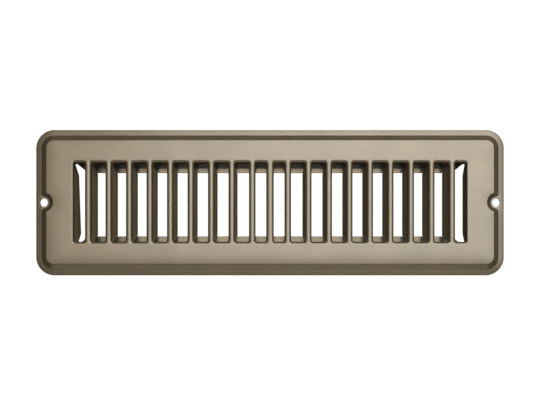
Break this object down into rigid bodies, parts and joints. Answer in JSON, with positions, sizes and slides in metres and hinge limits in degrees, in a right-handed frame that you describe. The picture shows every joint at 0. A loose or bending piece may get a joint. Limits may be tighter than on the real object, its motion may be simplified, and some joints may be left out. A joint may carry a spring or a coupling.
{
  "type": "louvred air grille",
  "caption": "Long pressed-steel air grille with rounded corners, a row of crosswise slots, slanted vanes behind them and a shallow duct collar.",
  "frame": {"origin": "midway between the two screw holes, in the plane of the rim's underside, which rests on the floor or wall", "axes": "+X along the grille's length, +Y across it, +Z out of its face, away from the duct"},
  "size_m": [0.292, 0.0908, 0.015],
  "materials": {
    "face_paint": "satin brown enamel",
    "collar_paint": "satin brown enamel",
    "vane_paint": "satin brown enamel"
  },
  "bodies": {
    "root": {"face_plate": "face_paint", "side_rail_front": "collar_paint", "side_rail_back": "collar_paint", "end_plate_left": "collar_paint", "end_plate_right": "collar_paint", "vane_left_1": "vane_paint", "vane_left_2": "vane_paint", "vane_left_3": "vane_paint", "vane_left_4": "vane_paint", "vane_left_5": "vane_paint", "vane_left_6": "vane_paint", "vane_left_7": "vane_paint", "vane_left_8": "vane_paint", "vane_right_1": "vane_paint", "vane_right_2": "vane_paint", "vane_right_3": "vane_paint", "vane_right_4": "vane_paint", "vane_right_5": "vane_paint", "vane_right_6": "vane_paint", "vane_right_7": "vane_paint", "vane_right_8": "vane_paint"}
  },
  "joints": []
}
